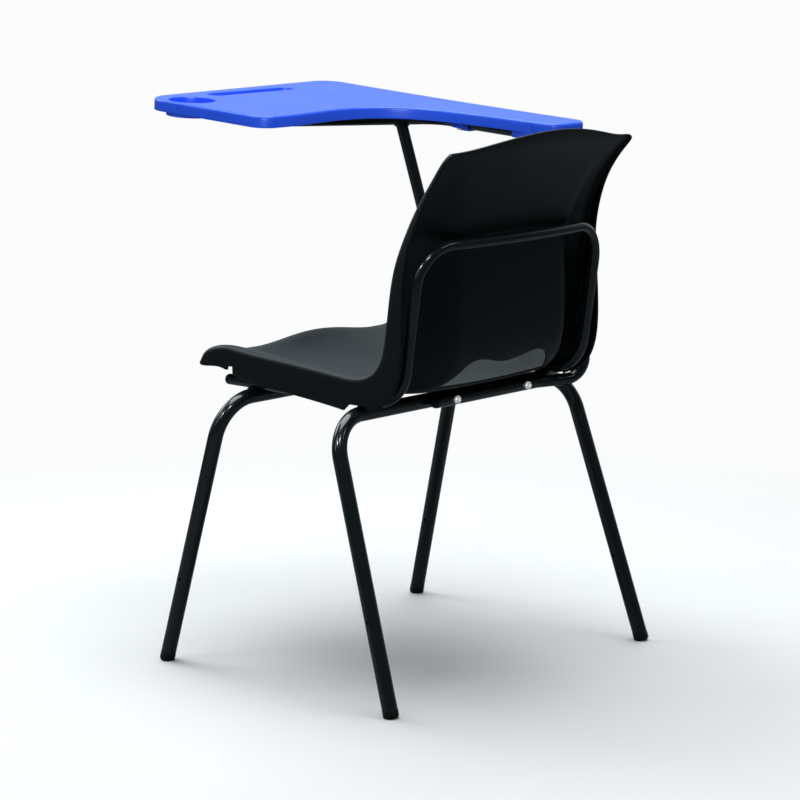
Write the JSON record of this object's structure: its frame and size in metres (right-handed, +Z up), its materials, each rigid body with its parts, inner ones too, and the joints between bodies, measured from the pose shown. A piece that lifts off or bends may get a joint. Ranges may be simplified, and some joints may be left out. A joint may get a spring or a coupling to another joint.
{
  "type": "student desk chair",
  "caption": "Moulded shell chair on a bent tube frame, with a flip-up writing tablet carried on a side arm.",
  "frame": {"origin": "bottom centre of the whole object's box, on the floor", "axes": "+X to the sitter's right, +Y the way the sitter faces, +Z up"},
  "size_m": [0.6073, 0.7679, 0.8169],
  "materials": {
    "shell_plastic": "fine grained, satin",
    "frame_paint": "gloss powder coat",
    "tablet_plastic": "fine texture, satin",
    "plug_plastic": "satin",
    "pad_rubber": "matte",
    "zinc_steel": "zinc plated"
  },
  "bodies": {
    "chair": {"seat_back_shell": "shell_plastic", "front_leg_frame": "frame_paint", "rear_leg_frame": "frame_paint", "seat_back_hoop": "frame_paint", "rail_welds": "frame_paint", "shell_mounting_tabs": "frame_paint", "shell_screws": "zinc_steel", "tablet_arm": "frame_paint", "arm_end_plug": "plug_plastic", "arm_screws": "zinc_steel", "arm_nuts": "zinc_steel", "tablet_support_tube": "frame_paint", "strut_weld": "frame_paint", "support_rear_plug": "plug_plastic", "support_front_plug": "plug_plastic", "tablet_rest_pad": "pad_rubber", "front_left_foot": "plug_plastic", "front_right_foot": "plug_plastic", "rear_left_foot": "plug_plastic", "rear_right_foot": "plug_plastic", "left_rail_plug": "plug_plastic", "right_rail_plug": "plug_plastic"},
    "tablet": {"writing_tablet": "tablet_plastic", "front_clamp_cap": "tablet_plastic", "rear_clamp_cap": "tablet_plastic", "clamp_screws": "zinc_steel"}
  },
  "joints": [
    {"name": "tablet_flip", "type": "hinge", "parent": "chair", "child": "tablet", "pos_m": [0.2336, -0.0302, 0.76544], "axis": [0, 0.9974, 0.0718], "range_deg": [0, 95]}
  ]
}
